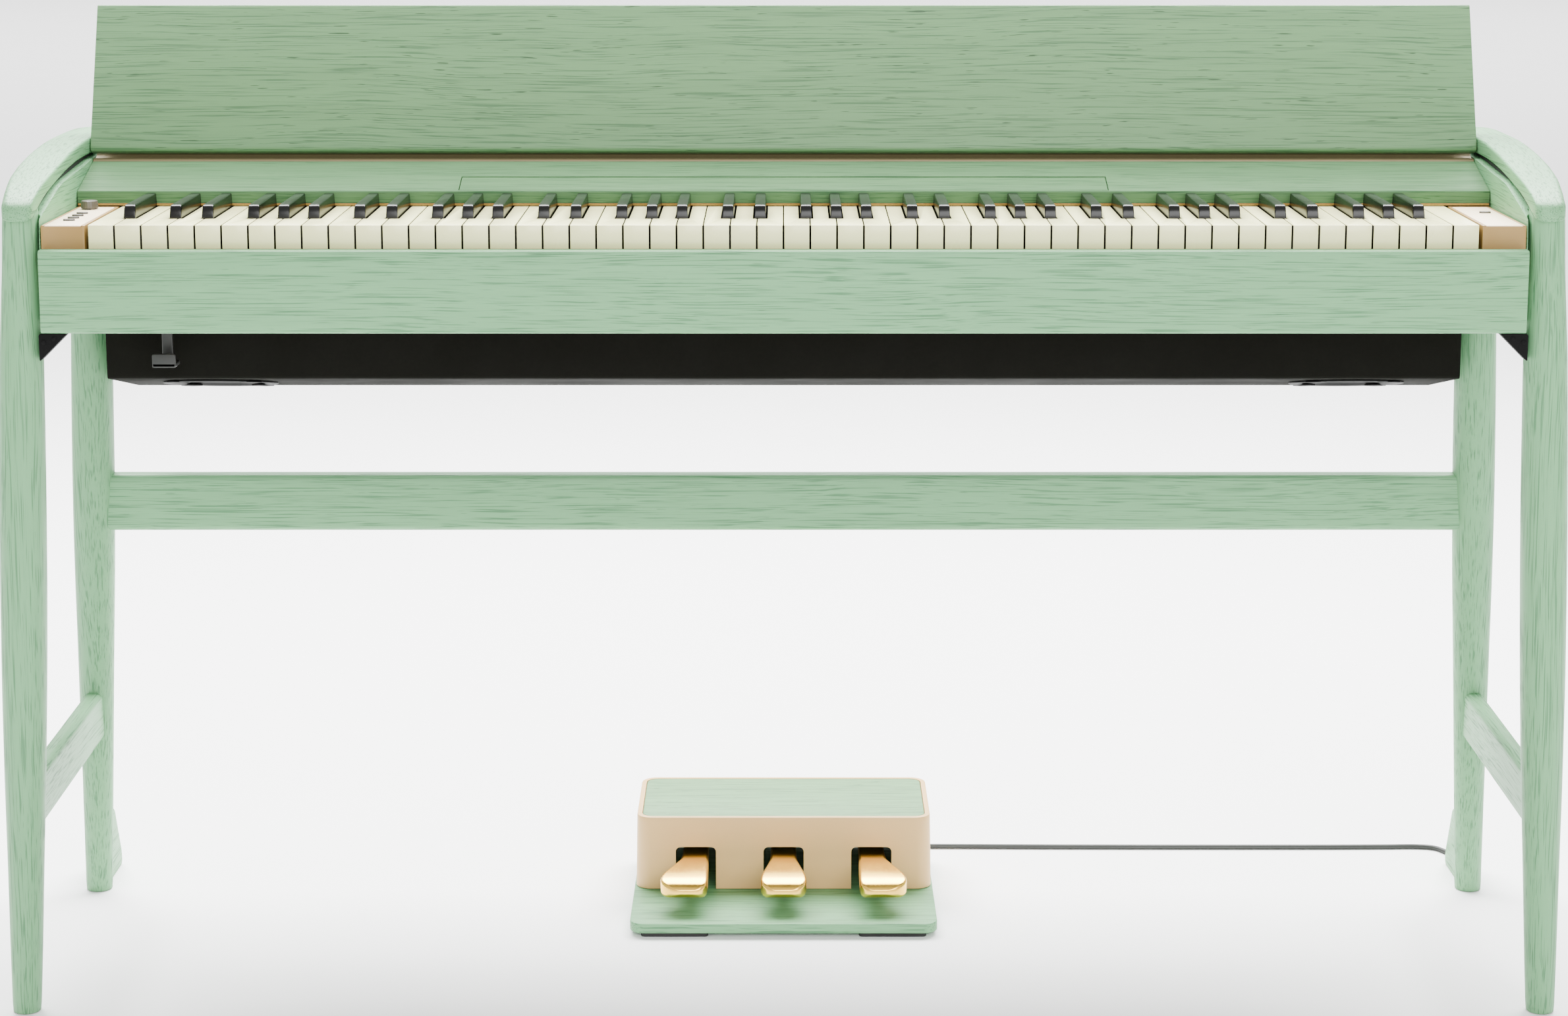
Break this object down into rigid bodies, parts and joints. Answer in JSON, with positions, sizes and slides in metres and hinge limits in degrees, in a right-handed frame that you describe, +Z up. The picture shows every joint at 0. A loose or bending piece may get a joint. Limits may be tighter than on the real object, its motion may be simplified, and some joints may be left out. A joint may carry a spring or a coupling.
{
  "type": "digital piano on stand",
  "caption": "Digital piano with a full keyboard, folding lid, armrests and round wooden legs, standing over a separate pedal unit joined to it by a cord.",
  "frame": {"origin": "on the floor, midway between the two ends and midway between the key slip's front and the cord outlet behind the pedal unit", "axes": "+X towards the treble end, -Y towards the player, +Z up"},
  "size_m": [1.4316, 0.4942, 0.9044],
  "materials": {
    "painted_oak": "open-grain oak stained pale green, satin",
    "lid_oak": "open-grain oak stained pale green, satin",
    "bare_board": "plain board, matt",
    "black_case": "black paint, matt",
    "black_metal": "satin black",
    "bronze": "satin bronze",
    "ivory": "satin ivory",
    "ebony": "satin black",
    "felt": "gold felt",
    "tan_block": "tan lacquer",
    "grey_plastic": "satin grey",
    "dark_plastic": "satin dark",
    "beige": "beige lacquer",
    "brass": "polished",
    "rubber": "matt"
  },
  "bodies": {
    "piano": {"leg_front_left": "painted_oak", "leg_front_right": "painted_oak", "leg_rear_left": "painted_oak", "leg_rear_right": "painted_oak", "side_stretcher_left": "painted_oak", "side_stretcher_right": "painted_oak", "rear_stretcher": "painted_oak", "stabilizer_left": "painted_oak", "stabilizer_right": "painted_oak", "armrest_left": "painted_oak", "armrest_right": "painted_oak", "side_panel_left": "painted_oak", "side_panel_right": "painted_oak", "key_slip": "painted_oak", "fallboard": "painted_oak", "rear_top_board": "painted_oak", "pedal_base": "painted_oak", "pedal_top_plate": "lid_oak", "keybed": "bare_board", "back_panel": "bare_board", "speaker_cabinet": "black_case", "corner_bracket_left": "black_metal", "corner_bracket_right": "black_metal", "speaker_left": "black_metal", "speaker_right": "black_metal", "cord_plug": "black_metal", "lid_hinge_rail": "bronze", "white_keys_bass": "ivory", "white_keys_treble": "ivory", "black_keys_bass": "ebony", "black_keys_treble": "ebony", "key_felt": "felt", "control_block_left": "tan_block", "control_block_right": "tan_block", "headphone_hook": "grey_plastic", "jack_panel": "dark_plastic", "pedal_housing": "beige", "pedal_foot_left": "rubber", "pedal_foot_right": "rubber", "pedal_cord": "rubber", "cord_strain_relief": "rubber"},
    "lid": {"lid_panel": "lid_oak", "leaf_hinge": "bronze"},
    "front_leaf": {"lid_front_leaf": "lid_oak"},
    "stop_flap": {"book_stop": "lid_oak"},
    "c4_key": {"key_c4": "ivory"},
    "c_sharp4_key": {"key_c_sharp4": "ebony"},
    "d4_key": {"key_d4": "ivory"},
    "d_sharp4_key": {"key_d_sharp4": "ebony"},
    "e4_key": {"key_e4": "ivory"},
    "function_button_1_cap": {"function_button_1": "dark_plastic"},
    "function_button_2_cap": {"function_button_2": "dark_plastic"},
    "function_button_3_cap": {"function_button_3": "dark_plastic"},
    "function_button_4_cap": {"function_button_4": "dark_plastic"},
    "power_button_cap": {"power_button": "grey_plastic"},
    "knob": {"volume_knob": "grey_plastic"},
    "pedal_left_lever": {"pedal_left": "brass"},
    "pedal_centre_lever": {"pedal_centre": "brass"},
    "pedal_right_lever": {"pedal_right": "brass"}
  },
  "joints": [
    {"name": "lid_hinge", "type": "hinge", "parent": "piano", "child": "lid", "pos_m": [0, 0.0167, 0.771], "axis": [1, 0, 0], "range_deg": [0, 116.7]},
    {"name": "front_leaf_fold", "type": "hinge", "parent": "lid", "child": "front_leaf", "pos_m": [0, 0.07604, 0.90186], "axis": [1, 0, 0], "range_deg": [0, 190.2]},
    {"name": "book_stop_hinge", "type": "hinge", "parent": "piano", "child": "stop_flap", "pos_m": [0, -0.03124, 0.74665], "axis": [1, 0, 0], "range_deg": [-88, 0]},
    {"name": "key_c4_press", "type": "hinge", "parent": "piano", "child": "c4_key", "pos_m": [-0.05875, 0.0015, 0.712], "axis": [1, 0, 0], "range_deg": [0, 2.66], "stiffness_Nm_per_rad": 0.8, "springref_deg": -17.19},
    {"name": "key_c_sharp4_press", "type": "hinge", "parent": "piano", "child": "c_sharp4_key", "pos_m": [-0.0496, 0.0015, 0.712], "axis": [1, 0, 0], "range_deg": [0, 2.66], "stiffness_Nm_per_rad": 0.8, "springref_deg": -17.19},
    {"name": "key_d4_press", "type": "hinge", "parent": "piano", "child": "d4_key", "pos_m": [-0.03525, 0.0015, 0.712], "axis": [1, 0, 0], "range_deg": [0, 2.66], "stiffness_Nm_per_rad": 0.8, "springref_deg": -17.19},
    {"name": "key_d_sharp4_press", "type": "hinge", "parent": "piano", "child": "d_sharp4_key", "pos_m": [-0.0209, 0.0015, 0.712], "axis": [1, 0, 0], "range_deg": [0, 2.66], "stiffness_Nm_per_rad": 0.8, "springref_deg": -17.19},
    {"name": "key_e4_press", "type": "hinge", "parent": "piano", "child": "e4_key", "pos_m": [-0.01175, 0.0015, 0.712], "axis": [1, 0, 0], "range_deg": [0, 2.66], "stiffness_Nm_per_rad": 0.8, "springref_deg": -17.19},
    {"name": "function_button_1_press", "type": "slide", "parent": "piano", "child": "function_button_1_cap", "axis": [0, 0, -1], "range_m": [0, 0.0009], "stiffness_N_per_m": 300, "springref_m": -0.001},
    {"name": "function_button_2_press", "type": "slide", "parent": "piano", "child": "function_button_2_cap", "axis": [0, 0, -1], "range_m": [0, 0.0009], "stiffness_N_per_m": 300, "springref_m": -0.001},
    {"name": "function_button_3_press", "type": "slide", "parent": "piano", "child": "function_button_3_cap", "axis": [0, 0, -1], "range_m": [0, 0.0009], "stiffness_N_per_m": 300, "springref_m": -0.001},
    {"name": "function_button_4_press", "type": "slide", "parent": "piano", "child": "function_button_4_cap", "axis": [0, 0, -1], "range_m": [0, 0.0009], "stiffness_N_per_m": 300, "springref_m": -0.001},
    {"name": "power_button_press", "type": "slide", "parent": "piano", "child": "power_button_cap", "axis": [0, 0, -1], "range_m": [0, 0.0009], "stiffness_N_per_m": 300, "springref_m": -0.001},
    {"name": "volume_turn", "type": "hinge", "parent": "piano", "child": "knob", "pos_m": [-0.6367, -0.085, 0.7257], "axis": [0, 0, 1], "range_deg": [-140, 140]},
    {"name": "pedal_left_press", "type": "hinge", "parent": "piano", "child": "pedal_left_lever", "pos_m": [-0.0886, 0.1865, 0.047], "axis": [1, 0, 0], "range_deg": [0, 4.5], "stiffness_Nm_per_rad": 6, "springref_deg": -14.32},
    {"name": "pedal_centre_press", "type": "hinge", "parent": "piano", "child": "pedal_centre_lever", "pos_m": [0, 0.1865, 0.047], "axis": [1, 0, 0], "range_deg": [0, 4.5], "stiffness_Nm_per_rad": 6, "springref_deg": -14.32},
    {"name": "pedal_right_press", "type": "hinge", "parent": "piano", "child": "pedal_right_lever", "pos_m": [0.0886, 0.1865, 0.047], "axis": [1, 0, 0], "range_deg": [0, 4.5], "stiffness_Nm_per_rad": 6, "springref_deg": -14.32}
  ]
}
